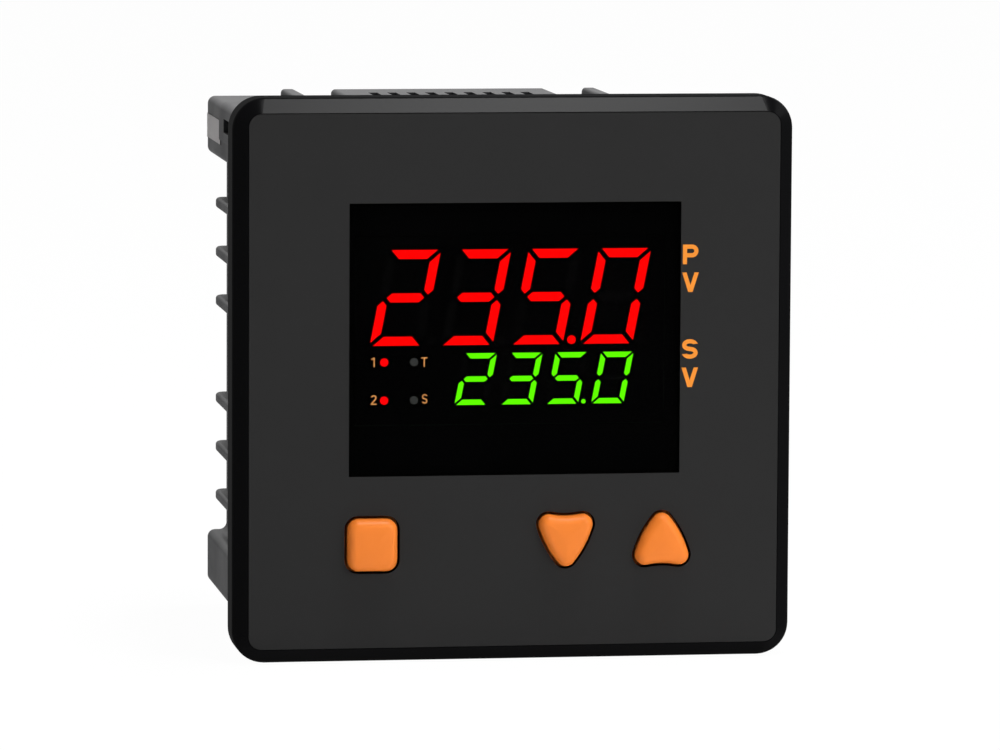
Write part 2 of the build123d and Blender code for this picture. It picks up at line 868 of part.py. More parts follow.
def transformer_core():
    """The ferrite core: a closed block with two windows beside its middle leg."""
    core = on_right_board(transformer_y, transformer_z, core_depth, core_length, core_height,
                          transformer_base_height)
    foot = side_board_x - transformer_base_height
    inside = (foot - core_height + core_back, foot - core_back)
    for side in (-1, 1):
        z = transformer_z + side * (core_leg + core_window) / 2
        core -= block(inside, around(transformer_y, core_depth), around(z, core_window))
    return core


def transformer_winding():
    """The taped winding round the core's middle leg."""
    foot = side_board_x - transformer_base_height
    inside = (foot - core_height + core_back + winding_gap, foot - core_back - winding_gap)
    outer_z = core_leg + 2 * core_window - 2 * winding_gap
    coil = block(inside, around(transformer_y, core_depth + 2 * winding_overhang),
                 around(transformer_z, outer_z))
    return coil - block(inside, around(transformer_y, core_depth + 2 * winding_gap),
                        around(transformer_z, core_leg + 2 * winding_gap))


def transformer_base():
    """The plastic base between the core and the board."""
    return on_right_board(transformer_y, transformer_z, core_depth + 2 * winding_overhang, core_length,
                          transformer_base_height)


def can(y, z, radius, length):
    """A round can that stands on the right-hand board."""
    body = stud(y, z, radius, side_board_x - length, side_board_x)
    top = body.edges().filter_by(lambda e: e.bounding_box().max.X < side_board_x - length + alike)
    return fillet(top, cap_edge_r)


def varistor():
    """A flat disc that stands on edge on the right-hand board."""
    body = post(side_board_x - varistor_r, varistor_z, varistor_r, *around(varistor_y, varistor_thickness))
    return fillet(body.edges().filter_by(GeomType.CIRCLE), varistor_edge_r)


def both_sides(pieces):
    """The pieces on the right together with the same pieces on the left."""
    right = list(pieces)
    return right + [mirrored(piece) for piece in right]


def all_parts():
    """Every piece by its name."""
    parts = {
        "bezel_frame": bezel_frame(),
        "front_overlay": front_overlay(),
        "display_lens": display_lens(),
        "display_shroud": display_shroud(),
        "panel_gasket": gasket_ring(gasket_thickness),
        "display_module": display_module(),
        "pv_segments_lit": group(row_solids("pv", True)),
        "sv_segments_lit": group(row_solids("sv", True)),
        "segments_dark": group(row_solids("pv", False) + row_solids("sv", False)),
        "indicator_lamps_lit": group(lamp_solids(True)),
        "indicator_lamps_dark": group(lamp_solids(False)),
        "display_board": display_board(),
        "display_board_screws": group(pan_screw(x, z) for x, z in boss_places()),
    }
    for name, (x, z) in key_places().items():
        parts[name + "_key_cap"] = key_cap(name)
        parts[name + "_switch_plunger"] = switch_plunger(x, z)
        parts[name + "_switch_body"] = switch_body(x, z)
    parts["microcontroller"] = block(around(0, chip_size), (board_back_y, board_back_y + chip_height),
                                     around(0, chip_size))
    parts["clock_crystal"] = block(around(0, crystal_length), (board_back_y, board_back_y + crystal_height),
                                   around(-crystal_drop, crystal_width))
    parts["right_header"] = board_header()
    parts["left_header"] = mirrored(board_header())
    parts["header_pins"] = group(both_sides(header_pins()))
    parts["case_shell"] = case_shell()
    parts["power_board"] = side_board()
    parts["control_board"] = mirrored(side_board())
    parts["right_terminal_block"] = terminal_block()
    parts["left_terminal_block"] = mirrored(terminal_block())
    parts["contact_plates"] = group(both_sides(contact_plate(z) for z in terminal_rows()))
    parts["clamp_plates"] = group(both_sides(clamp_plate(z) for z in terminal_rows()))
    parts["terminal_screws"] = group(both_sides(terminal_screw(z) for z in terminal_rows()))
    parts["relay_upper"] = relay(relay_upper_z)
    parts["relay_lower"] = relay(relay_upper_z - relay_length - relay_gap_z)
    parts["converter_chip"] = mirrored(on_right_board(converter_y, converter_z, converter_width,
                                                      converter_length, converter_height))
    parts["optocouplers"] = group(optocouplers())
    parts["transformer_base"] = transformer_base()
    parts["transformer_core"] = transformer_core()
    parts["transformer_winding"] = transformer_winding()
    parts["filter_capacitor"] = can(filter_cap_y, filter_cap_z, filter_cap_r, filter_cap_length)
    parts["output_capacitor"] = can(output_cap_y, output_cap_z, output_cap_r, output_cap_length)
    parts["fuse"] = can(fuse_y, fuse_z, fuse_r, fuse_length)
    parts["varistor"] = varistor()
    return parts


os.makedirs("parts", exist_ok=True)
for node, shape in all_parts().items():
    export_step(shape, f"parts/{node}.step")
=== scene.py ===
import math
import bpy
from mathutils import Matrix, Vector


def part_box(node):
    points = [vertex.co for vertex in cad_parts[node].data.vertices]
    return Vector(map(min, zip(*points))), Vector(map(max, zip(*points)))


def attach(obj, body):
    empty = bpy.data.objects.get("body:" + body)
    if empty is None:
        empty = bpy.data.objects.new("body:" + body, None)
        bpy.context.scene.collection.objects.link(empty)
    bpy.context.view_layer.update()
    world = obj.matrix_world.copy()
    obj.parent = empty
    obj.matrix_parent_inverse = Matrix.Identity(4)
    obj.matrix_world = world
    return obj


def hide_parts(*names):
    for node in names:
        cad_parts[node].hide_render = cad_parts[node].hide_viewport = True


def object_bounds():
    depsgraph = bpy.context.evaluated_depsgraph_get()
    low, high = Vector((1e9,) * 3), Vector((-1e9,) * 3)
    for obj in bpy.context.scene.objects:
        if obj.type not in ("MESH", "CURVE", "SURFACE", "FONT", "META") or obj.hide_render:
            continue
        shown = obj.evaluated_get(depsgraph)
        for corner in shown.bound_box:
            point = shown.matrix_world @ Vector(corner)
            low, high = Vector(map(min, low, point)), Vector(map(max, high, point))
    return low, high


bl_info = {
    "name": "Panel Temperature Controller",
    "version": (1, 0, 0),
    "blender": (4, 5, 0),
    "location": "View3D > Sidebar > Controller",
    "description": "Dresses the solids of a panel temperature controller and sets its stage",
    "category": "Object",
}

import bmesh
import bpy
from bpy.props import FloatProperty, FloatVectorProperty, PointerProperty
from mathutils import Matrix, Vector

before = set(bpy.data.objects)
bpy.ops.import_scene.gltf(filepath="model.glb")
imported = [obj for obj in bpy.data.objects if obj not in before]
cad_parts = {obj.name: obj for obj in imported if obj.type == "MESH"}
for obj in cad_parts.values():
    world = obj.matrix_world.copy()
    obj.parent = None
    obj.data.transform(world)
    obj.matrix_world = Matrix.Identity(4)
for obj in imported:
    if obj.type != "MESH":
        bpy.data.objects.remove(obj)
CAD_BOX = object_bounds()

MM = 0.001
HOUSING = "housing"
KEYS = ("mode", "down", "up")
FRONT_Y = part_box("front_overlay")[0][1]
WHITE = (1.0, 1.0, 1.0, 1.0)
SHARP_ANGLE = math.radians(40)
INK_LIFT = 0.02 * MM
LAYER_LIFT = 0.002 * MM


def shade(red, green, blue):
    """A screen colour, 0 to 255, as the linear values that the shaders use."""
    return tuple(c / 12.92 if c <= 0.04045 else ((c + 0.055) / 1.055) ** 2.4
                 for c in (red / 255, green / 255, blue / 255))


def colour_property(name, description, default):
    """A colour that a user can change."""
    return FloatVectorProperty(name=name, description=description, default=default, size=3, min=0.0,
                               max=1.0, subtype="COLOR")


def length_property(name, description, default):
    """A length that a user can change, in metres."""
    return FloatProperty(name=name, description=description, default=default, min=0.0, precision=5,
                         subtype="DISTANCE", unit="LENGTH")


def share_property(name, description, default):
    """A share from 0 to 1 that a user can change."""
    return FloatProperty(name=name, description=description, default=default, min=0.0, max=1.0,
                         subtype="FACTOR")


def angle_property(name, description, default):
    """An angle that a user can change, in radians."""
    return FloatProperty(name=name, description=description, default=default, subtype="ANGLE",
                         unit="ROTATION")


def aim_property(name, description, default):
    """A distance to either side that a user can change, in metres."""
    return FloatProperty(name=name, description=description, default=default, unit="LENGTH", precision=5)


def power_property(name, description, default):
    """A lamp's power that a user can change, in watts."""
    return FloatProperty(name=name, description=description, default=default, unit="POWER")


class FrontSettings(bpy.types.PropertyGroup):
    """Colours and sizes of the front frame and its sheet."""

    frame_colour: colour_property("Frame", "Glossy front frame", shade(3, 3, 4))
    frame_roughness: share_property("Frame Roughness", "How dull the front frame is", 0.2)
    sheet_colour: colour_property("Sheet", "Matt front sheet", shade(38, 38, 38))
    print_colour: colour_property("Print", "Printed letters beside the window", shade(229, 137, 39))
    letter_height: length_property("Letter Height", "Height of the printed letters", 3.35 * MM)
    gasket_colour: colour_property("Gasket", "Rubber seal behind the frame", shade(26, 26, 27))


class DisplaySettings(bpy.types.PropertyGroup):
    """Colours and strengths of what shows through the window."""

    upper_colour: colour_property("Upper Row", "Light of the upper digits", (1.0, 0.0, 0.0))
    lower_colour: colour_property("Lower Row", "Light of the lower digits", shade(92, 255, 0))
    lamp_colour: colour_property("Lamps", "Light of the indicator lamps", (1.0, 0.0, 0.001))
    mark_colour: colour_property("Marks", "Printed marks beside the lamps", shade(226, 150, 78))
    mark_height: length_property("Mark Height", "Height of the marks beside the lamps", 1.6 * MM)
    smoke: share_property("Smoke", "How dark the window is", 0.45)
    glow: FloatProperty(name="Glow", description="Strength of the lit strokes", default=3.7, min=0.0)


class KeySettings(bpy.types.PropertyGroup):
    """Shape and colour of the three keys."""

    colour: colour_property("Key", "Moulded key caps", shade(226, 121, 41))
    edge_inset: length_property("Edge Inset", "Width of the rounded rim, seen from the front", 1.6 * MM)
    edge_drop: length_property("Edge Drop", "Depth of the rounded rim", 1.95 * MM)
    crown: length_property("Crown", "Rise of the face at its middle", 0.12 * MM)


class CaseSettings(bpy.types.PropertyGroup):
    """Colours and grain of the case and its terminal blocks."""

    case_colour: colour_property("Case", "Moulded case", shade(38, 38, 40))
    # Painted highlight: the rail colour is a lighter band painted on two clamp rails, standing in for
    # reflected light.
    rail_highlight_colour: colour_property("Rail", "Rubbed rails of the panel clamps", shade(152, 149, 149))
    top_gloss: share_property("Top Gloss", "Gloss of the faces that look up", 0.58)
    block_colour: colour_property("Terminal Block", "Plastic of the terminal blocks", shade(30, 31, 33))
    grain_size: length_property("Grain Size", "Size of the moulded grain", 0.3 * MM)
    number_colour: colour_property("Numbers", "Printed terminal numbers", shade(196, 196, 190))
    number_height: length_property("Number Height", "Height of the terminal numbers", 2.1 * MM)


class BoardSettings(bpy.types.PropertyGroup):
    """Colours of the circuit boards."""

    board_colour: colour_property("Board", "Lacquer of the circuit boards", shade(16, 84, 44))
    track_colour: colour_property("Tracks", "Lacquer over the copper tracks", shade(30, 122, 64))


class StageSettings(bpy.types.PropertyGroup):
    """Floor, lights and camera."""

    floor_colour: colour_property("Floor", "Plain pale floor", (0.9, 0.9, 0.9))
    top_power: power_property("Top Light", "Power of the lamp above", 7.6)
    front_power: power_property("Front Light", "Power of the lamp in front", 16.0)
    rear_power: power_property("Rear Light", "Power of the lamp behind", 12.0)
    world_level: FloatProperty(name="Surround", description="Level of the even light all round",
                               default=0.15)
    azimuth: angle_property("Azimuth", "Turn of the camera about the upright axis", 0.15376975981)
    elevation: angle_property("Elevation", "Height angle of the camera", 0.10680486556)
    roll: angle_property("Roll", "Roll of the camera", 0.00514121)
    distance: length_property("Distance", "From the camera to the front", 1131.3114 * MM)
    across: aim_property("Across", "Aim of the camera to the right", -2.584088 * MM)
    upward: aim_property("Upward", "Aim of the camera upwards", 0.921146 * MM)
    lens: FloatProperty(name="Lens", description="Focal length in millimetres", default=240.2426, min=1.0)


def new_group(name, inputs, outputs):
    """An empty shader node group. Its inputs are numbers with defaults and its outputs are numbers."""
    group = bpy.data.node_groups.new(name, "ShaderNodeTree")
    for label, value in inputs.items():
        socket = group.interface.new_socket(label, in_out="INPUT", socket_type="NodeSocketFloat")
        socket.default_value = value
    for label in outputs:
        group.interface.new_socket(label, in_out="OUTPUT", socket_type="NodeSocketFloat")
    return group, group.nodes.new("NodeGroupInput"), group.nodes.new("NodeGroupOutput")


def wire(tree, value, socket):
    """Feeds a socket from another socket, or sets it to a plain value."""
    if isinstance(value, bpy.types.NodeSocket):
        tree.links.new(value, socket)
    else:
        socket.default_value = value


def calculate(tree, operation, *values):
    """A math node's result."""
    node = tree.nodes.new("ShaderNodeMath")
    node.operation = operation
    for value, socket in zip(values, node.inputs):
        wire(tree, value, socket)
    return node.outputs[0]


def product(tree, first, *others):
    """The product of two or more values."""
    for other in others:
        first = calculate(tree, "MULTIPLY", first, other)
    return first


def rescale(tree, value, low, high, new_low=0.0, new_high=1.0):
    """A value taken from one range to another and held within it."""
    node = tree.nodes.new("ShaderNodeMapRange")
    for source, socket in zip((value, low, high, new_low, new_high), node.inputs):
        wire(tree, source, socket)
    return node.outputs[0]


def mix_colours(tree, share, first, second):
    """Two colours mixed by a share."""
    node = tree.nodes.new("ShaderNodeMix")
    node.data_type = "RGBA"
    wire(tree, share, node.inputs[0])
    for value, socket in ((first, node.inputs[6]), (second, node.inputs[7])):
        wire(tree, (*value, 1.0) if isinstance(value, tuple) else value, socket)
    return node.outputs[2]


def noise_value(tree, size, detail=2.0, stretch=None):
    """Noise over the piece's own coordinates, with features of a given size in metres."""
    coordinates = tree.nodes.new("ShaderNodeTexCoord").outputs["Object"]
    if stretch:
        mapping = tree.nodes.new("ShaderNodeMapping")
        mapping.inputs["Scale"].default_value = stretch
        tree.links.new(coordinates, mapping.inputs["Vector"])
        coordinates = mapping.outputs["Vector"]
    noise = tree.nodes.new("ShaderNodeTexNoise")
    tree.links.new(coordinates, noise.inputs["Vector"])
    wire(tree, calculate(tree, "DIVIDE", 1.0, size), noise.inputs["Scale"])
    noise.inputs["Detail"].default_value = detail
    return noise.outputs[0]


def moulded_grain_group():
    """Fine grain as a height, and a wide soft mottle as a share."""
    name = "Moulded Grain"
    if name in bpy.data.node_groups:
        return bpy.data.node_groups[name]
    coarse_ratio, fine_share, coarse_share = 3.1, 0.7, 0.3
    group, given, result = new_group(name, {"Grain Size": 0.3 * MM, "Mottle Size": 12 * MM},
                                     ("Height", "Mottle"))
    fine = noise_value(group, given.outputs["Grain Size"], detail=3.0)
    coarse_size = product(group, given.outputs["Grain Size"], coarse_ratio)
    coarse = noise_value(group, coarse_size, detail=1.0)
    height = calculate(group, "ADD", product(group, fine, fine_share),
                       product(group, coarse, coarse_share))
    group.links.new(height, result.inputs["Height"])
    mottle = rescale(group, noise_value(group, given.outputs["Mottle Size"], detail=3.0), 0.3, 0.7)
    group.links.new(mottle, result.inputs["Mottle"])
    return group


def painted_edge_sheen_group():
    """A mask for a painted sheen: 1 on outer edges, fading within a width, broken up by noise."""
    name = "Rubbed Edges"
    if name in bpy.data.node_groups:
        return bpy.data.node_groups[name]
    group, given, result = new_group(name, {"Width": 0.5 * MM, "Amount": 0.5}, ("Mask",))
    bevel = group.nodes.new("ShaderNodeBevel")
    bevel.samples = 4
    group.links.new(given.outputs["Width"], bevel.inputs["Radius"])
    geometry = group.nodes.new("ShaderNodeNewGeometry")
    dot = group.nodes.new("ShaderNodeVectorMath")
    dot.operation = "DOT_PRODUCT"
    group.links.new(bevel.outputs["Normal"], dot.inputs[0])
    group.links.new(geometry.outputs["Normal"], dot.inputs[1])
    edge = rescale(group, dot.outputs["Value"], 0.99, 0.8)
    broken = rescale(group, noise_value(group, 2.5 * MM, detail=3.0), 0.35, 0.65, new_low=0.45)
    group.links.new(product(group, edge, broken, given.outputs["Amount"]), result.inputs["Mask"])
    return group


def settled_dust_group():
    """A thin uneven veil of dust on faces that look up, and how far each face looks up."""
    name = "Settled Dust"
    if name in bpy.data.node_groups:
        return bpy.data.node_groups[name]
    group, given, result = new_group(name, {"Amount": 0.1}, ("Mask", "Upward"))
    geometry = group.nodes.new("ShaderNodeNewGeometry")
    split = group.nodes.new("ShaderNodeSeparateXYZ")
    group.links.new(geometry.outputs["Normal"], split.inputs["Vector"])
    upward = rescale(group, split.outputs["Z"], 0.3, 0.95)
    patches = rescale(group, noise_value(group, 6 * MM, detail=4.0), 0.3, 0.7, new_low=0.4)
    group.links.new(product(group, upward, patches, given.outputs["Amount"]), result.inputs["Mask"])
    group.links.new(upward, result.inputs["Upward"])
    return group


def brushed_group():
    """Fine lines across a plated surface, as a height."""
    name = "Brushed Lines"
    if name in bpy.data.node_groups:
        return bpy.data.node_groups[name]
    group, given, result = new_group(name, {"Line Size": 0.1 * MM}, ("Height",))
    lines = noise_value(group, given.outputs["Line Size"], stretch=(1.0, 1.0, 0.08))
    group.links.new(lines, result.inputs["Height"])
    return group


def track_group():
    """Copper tracks: short runs of parallel lines that change direction from patch to patch."""
    name = "Board Tracks"
    if name in bpy.data.node_groups:
        return bpy.data.node_groups[name]
    copper_share, bare_share = 0.32, 0.3
    group, given, result = new_group(name, {"Patch Size": 9 * MM, "Track Pitch": 1.27 * MM}, ("Mask",))
    coordinates = group.nodes.new("ShaderNodeTexCoord").outputs["Object"]
    patches = group.nodes.new("ShaderNodeTexVoronoi")
    patches.distance = "CHEBYCHEV"
    group.links.new(coordinates, patches.inputs["Vector"])
    group.links.new(calculate(group, "DIVIDE", 1.0, given.outputs["Patch Size"]), patches.inputs["Scale"])
    choice = group.nodes.new("ShaderNodeSeparateColor")
    group.links.new(patches.outputs["Color"], choice.inputs["Color"])
    place = group.nodes.new("ShaderNodeSeparateXYZ")
    group.links.new(coordinates, place.inputs["Vector"])
    flat = calculate(group, "ADD", place.outputs["X"], place.outputs["Y"])
    lines = []
    for along in (flat, place.outputs["Z"]):
        turns = calculate(group, "DIVIDE", along, given.outputs["Track Pitch"])
        lines.append(calculate(group, "LESS_THAN", calculate(group, "FRACT", turns), copper_share))
    upright = calculate(group, "GREATER_THAN", choice.outputs["Red"], 0.5)
    turned = product(group, lines[0], upright)
    level = product(group, lines[1], calculate(group, "SUBTRACT", 1.0, upright))
    used = calculate(group, "GREATER_THAN", choice.outputs["Green"], bare_share)
    mask = product(group, calculate(group, "ADD", turned, level), used)
    group.links.new(mask, result.inputs["Mask"])
    return group


def blank_material(name, roughness=0.5, specular=0.5, metallic=0.0):
    """A new material with its shader's plain values set."""
    material = bpy.data.materials.new(name)
    material.use_nodes = True
    shader = material.node_tree.nodes["Principled BSDF"]
    shader.inputs["Roughness"].default_value = roughness
    shader.inputs["Specular IOR Level"].default_value = specular
    shader.inputs["Metallic"].default_value = metallic
    return material, material.node_tree, shader


def place_group(tree, group, **values):
    """A group node with its values set."""
    node = tree.nodes.new("ShaderNodeGroup")
    node.node_tree = group
    for label, value in values.items():
        node.inputs[label.replace("_", " ").title()].default_value = value
    return node


def bump(tree, shader, height, strength, distance):
    """Feeds a height to the shader's normal."""
    node = tree.nodes.new("ShaderNodeBump")
    node.inputs["Strength"].default_value = strength
    node.inputs["Distance"].default_value = distance
    tree.links.new(height, node.inputs["Height"])
    tree.links.new(node.outputs["Normal"], shader.inputs["Normal"])


def brighter(colour, factor):
    """A colour scaled in brightness."""
    return tuple(min(1.0, c * factor) for c in colour)


def mottled(tree, surface, colour, dark, light):
    """A colour that drifts between a darker and a lighter one with the surface's mottle."""
    return mix_colours(tree, surface.outputs["Mottle"], brighter(colour, dark), brighter(colour, light))


def moulded(name, colour, roughness, specular=0.5, grain=0.3 * MM, relief=0.15, mottle=0.08, edge_sheen=0.15,
            dust=0.0, coat=0.0, coat_roughness=0.1):
    """Moulded plastic or rubber: fine grain, slight mottle, edges painted lighter as a sheen, and a little
    dust.
    """
    sheen_share = 0.12
    grain_depth = 0.3 * grain
    material, tree, shader = blank_material(name, roughness, specular)
    shader.inputs["Coat Weight"].default_value = coat
    shader.inputs["Coat Roughness"].default_value = coat_roughness
    surface = place_group(tree, moulded_grain_group(), grain_size=grain)
    edges = place_group(tree, painted_edge_sheen_group(), amount=edge_sheen)
    # Painted sheen: the edge mask mixes the edges towards a lighter colour.
    sheen_colour = tuple(c + (1 - c) * sheen_share for c in colour)
    base = mottled(tree, surface, colour, 1 - mottle, 1 + mottle)
    base = mix_colours(tree, edges.outputs["Mask"], base, sheen_colour)
    if dust:
        veil = place_group(tree, settled_dust_group(), amount=dust)
        base = mix_colours(tree, veil.outputs["Mask"], base, shade(150, 146, 140))
    tree.links.new(base, shader.inputs["Base Color"])
    rough = rescale(tree, surface.outputs["Mottle"], 0.0, 1.0, roughness * 0.92, min(1.0, roughness * 1.08))
    tree.links.new(rough, shader.inputs["Roughness"])
    bump(tree, shader, surface.outputs["Height"], relief, grain_depth)
    return material


def plated(name, colour, roughness=0.3):
    """Plated metal with fine drawn lines."""
    material, tree, shader = blank_material(name, roughness, metallic=1.0)
    lines = place_group(tree, brushed_group())
    surface = place_group(tree, moulded_grain_group(), mottle_size=2 * MM)
    tree.links.new(mottled(tree, surface, colour, 0.88, 1.05), shader.inputs["Base Color"])
    rough = rescale(tree, lines.outputs["Height"], 0.3, 0.7, roughness * 0.75, roughness * 1.3)
    tree.links.new(rough, shader.inputs["Roughness"])
    bump(tree, shader, lines.outputs["Height"], strength=0.2, distance=0.02 * MM)
    return material


def printed(name, colour):
    """Screen ink: a flat colour with slightly uneven cover."""
    material, tree, shader = blank_material(name, specular=0.25)
    surface = place_group(tree, moulded_grain_group(), grain_size=0.12 * MM, mottle_size=1.2 * MM)
    tree.links.new(mottled(tree, surface, colour, 0.95, 1.04), shader.inputs["Base Color"])
    bump(tree, shader, surface.outputs["Height"], strength=0.15, distance=0.02 * MM)
    return material


def lit(name, colour, strength):
    """A diffuser that glows, a little brighter and dimmer from place to place."""
    material, tree, shader = blank_material(name, specular=0.1)
    surface = place_group(tree, moulded_grain_group(), grain_size=0.2 * MM, mottle_size=1.5 * MM)
    tree.links.new(mottled(tree, surface, colour, 0.25, 0.3), shader.inputs["Base Color"])
    tree.links.new(mottled(tree, surface, colour, 0.95, 1.0), shader.inputs["Emission Color"])
    shader.inputs["Emission Strength"].default_value = strength
    return material


def smoked_window(name, smoke):
    """Smoked clear plastic with a polished face."""
    material, tree, shader = blank_material(name, roughness=0.1, specular=0.0)
    shader.inputs["Coat Weight"].default_value = 0.03
    shader.inputs["Coat Roughness"].default_value = 0.03
    surface = place_group(tree, moulded_grain_group(), grain_size=1.5 * MM, mottle_size=20 * MM)
    near_black = (0.0006, 0.0006, 0.0006)
    tree.links.new(mottled(tree, surface, near_black, 0.0, 1.0), shader.inputs["Base Color"])
    bump(tree, shader, surface.outputs["Height"], strength=0.02, distance=0.02 * MM)
    shader.inputs["Alpha"].default_value = smoke
    return material


def circuit_board(name, colour, track_colour):
    """Lacquered board with copper tracks under the lacquer."""
    material, tree, shader = blank_material(name, roughness=0.35)
    tracks = place_group(tree, track_group())
    surface = place_group(tree, moulded_grain_group(), grain_size=0.25 * MM, mottle_size=10 * MM)
    base = mottled(tree, surface, colour, 0.9, 1.0)
    base = mix_colours(tree, tracks.outputs["Mask"], base, tuple(track_colour))
    tree.links.new(base, shader.inputs["Base Color"])
    bump(tree, shader, tracks.outputs["Mask"], strength=0.4, distance=0.03 * MM)
    return material


def dress(material, *names):
    """Gives CAD nodes their material."""
    for name in names:
        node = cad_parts[name]
        node.data.materials.clear()
        node.data.materials.append(material)


def new_piece(name, vertices, faces, material, body=HOUSING, smooth=True):
    """A mesh piece in the shared frame that rides on a body."""
    mesh = bpy.data.meshes.new(name)
    mesh.from_pydata(vertices, [], faces)
    mesh.validate()
    mesh.materials.append(material)
    if smooth:
        mesh.polygons.foreach_set("use_smooth", [True] * len(mesh.polygons))
    piece = bpy.data.objects.new(name, mesh)
    bpy.context.scene.collection.objects.link(piece)
    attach(piece, body)
    return piece


def arc(centre_x, centre_y, radius_x, radius_y, start, end, steps=14):
    """Points on an ellipse between two angles in degrees."""
    angles = [math.radians(start + (end - start) * step / steps) for step in range(steps + 1)]
    return [(centre_x + radius_x * math.cos(a), centre_y + radius_y * math.sin(a)) for a in angles]


def character_strokes(character, stroke):
    """The middle lines of a plain character's strokes, for a height of 1 and a given stroke width."""
    half = stroke / 2
    widths = {"P": 0.8, "V": 0.87, "S": 0.31 + 2.3 * stroke, "T": 0.64, "1": 0.36}
    wide = widths.get(character, 0.6)
    middle, reach = wide / 2, wide / 2 - half
    quarter = (1 - stroke) / 4
    upper, lower = 1 - half - quarter, half + quarter
    bowl = (0.65 - stroke) / 2
    if character == "P":
        curve = arc(wide - half - bowl, 0.675, bowl, bowl, 90, -90)
        return [[(half, 0), (half, 1)], [(half, 1 - half), *curve, (half, 0.35 + half)]]
    if character == "V":
        return [[(half * 1.1, 1), (middle, 0)], [(wide - half * 1.1, 1), (middle, 0)]]
    if character == "T":
        return [[(0, 1 - half), (wide, 1 - half)], [(middle, 1 - half), (middle, 0)]]
    if character == "S":
        return [arc(middle, upper, reach, quarter, 20, 245) + arc(middle, lower, reach, quarter, 65, -160)]
    loop = arc(middle, 0.31, reach, 0.31 - half, 0, 360)
    sweep = arc(wide - half, 0.31, wide - stroke, 0.69 - half, 180, 105)
    return {
        "0": [arc(middle, 0.5, reach, 0.5 - half, 0, 360)],
        "1": [[(wide - half, 0), (wide - half, 1)], [(0, 0.8), (wide - half, 0.92)]],
        "2": [arc(middle, 0.72, reach, 0.28 - half, 165, -30) + [(half, half), (wide, half)]],
        "3": [arc(middle, upper, reach, quarter, 150, -80), arc(middle, lower, reach, quarter, 80, -150)],
        "4": [[(wide * 0.75, 0), (wide * 0.75, 1)], [(wide * 0.72, 1), (half, 0.3)],
              [(0, 0.3), (wide, 0.3)]],
        "5": [[(wide, 1 - half), (half * 1.4, 1 - half), (half, 0.5)]
              + arc(middle, 0.33, reach, 0.33 - half, 140, -150)],
        "6": [loop, sweep],
        "7": [[(0, 1 - half), (wide - half, 1 - half), (wide * 0.35, 0)]],
        "8": [arc(middle, 0.735, reach * 0.92, 0.265 - half, 0, 360),
              arc(middle, 0.265, reach, 0.265 - half, 0, 360)],
        "9": [[(wide - x, 1 - y) for x, y in loop], [(wide - x, 1 - y) for x, y in sweep]],
    }[character]


def stroke_sides(points, width):
    """The two edges of a stroke about its middle line. Its ends are cut level or upright."""
    edges = []
    for index, point in enumerate(points):
        before = Vector(points[max(index - 1, 0)])
        after = Vector(points[min(index + 1, len(points) - 1)])
        place = Vector(point)
        if 0 < index < len(points) - 1:
            way = ((place - before).normalized() + (after - place).normalized()).normalized()
            spread = width / 2 / max(0.5, way.dot((after - place).normalized()))
            side = Vector((-way.y, way.x)) * spread
        else:
            way = (after - before).normalized()
            if abs(way.y) > abs(way.x):
                side = Vector((-math.copysign(1.0, way.y), 0.0))
            else:
                side = Vector((0.0, math.copysign(1.0, way.x)))
            side *= width / 2 / max(abs(way.x), abs(way.y))
        edges.append((place + side, place - side))
    return edges


def lettering(name, words, places, height, stroke, depth_y, facing, material):
    """Short words as one thin printed piece. Each word's middle is at its place, X and Z in metres."""
    vertices, faces = [], []
    gap = 0.9 * stroke
    for word, (x, z) in zip(words, places):
        flat, pen = [], 0.0
        for character in word:
            sides = [stroke_sides(points, stroke) for points in character_strokes(character, stroke)]
            flat += [[(left + Vector((pen, 0.0)), right + Vector((pen, 0.0))) for left, right in edges]
                     for edges in sides]
            pen = max(max(left.x, right.x) for edges in flat for left, right in edges) + gap
        low = min(min(left.x, right.x) for edges in flat for left, right in edges)
        middle = (low + pen - gap) / 2
        for layer, edges in enumerate(flat):
            start = len(vertices)
            level = depth_y + facing * (INK_LIFT + LAYER_LIFT * layer)
            for pair in edges:
                vertices += [(x - facing * (p.x - middle) * height, level, z + (p.y - 0.5) * height)
                             for p in pair]
            faces += [(start + 2 * i, start + 2 * i + 1, start + 2 * i + 3, start + 2 * i + 2)
                      for i in range(len(edges) - 1)]
    return new_piece(name, vertices, faces, material, smooth=False)


def seen_rays(tree):
    """1 for what is seen straight, in a reflection or through a clear piece, and otherwise 0."""
    rays = tree.nodes.new("ShaderNodeLightPath")
    seen = rays.outputs["Is Camera Ray"]
    for label in ("Is Glossy Ray", "Is Transmission Ray"):
        seen = calculate(tree, "MAXIMUM", seen, rays.outputs[label])
    return seen


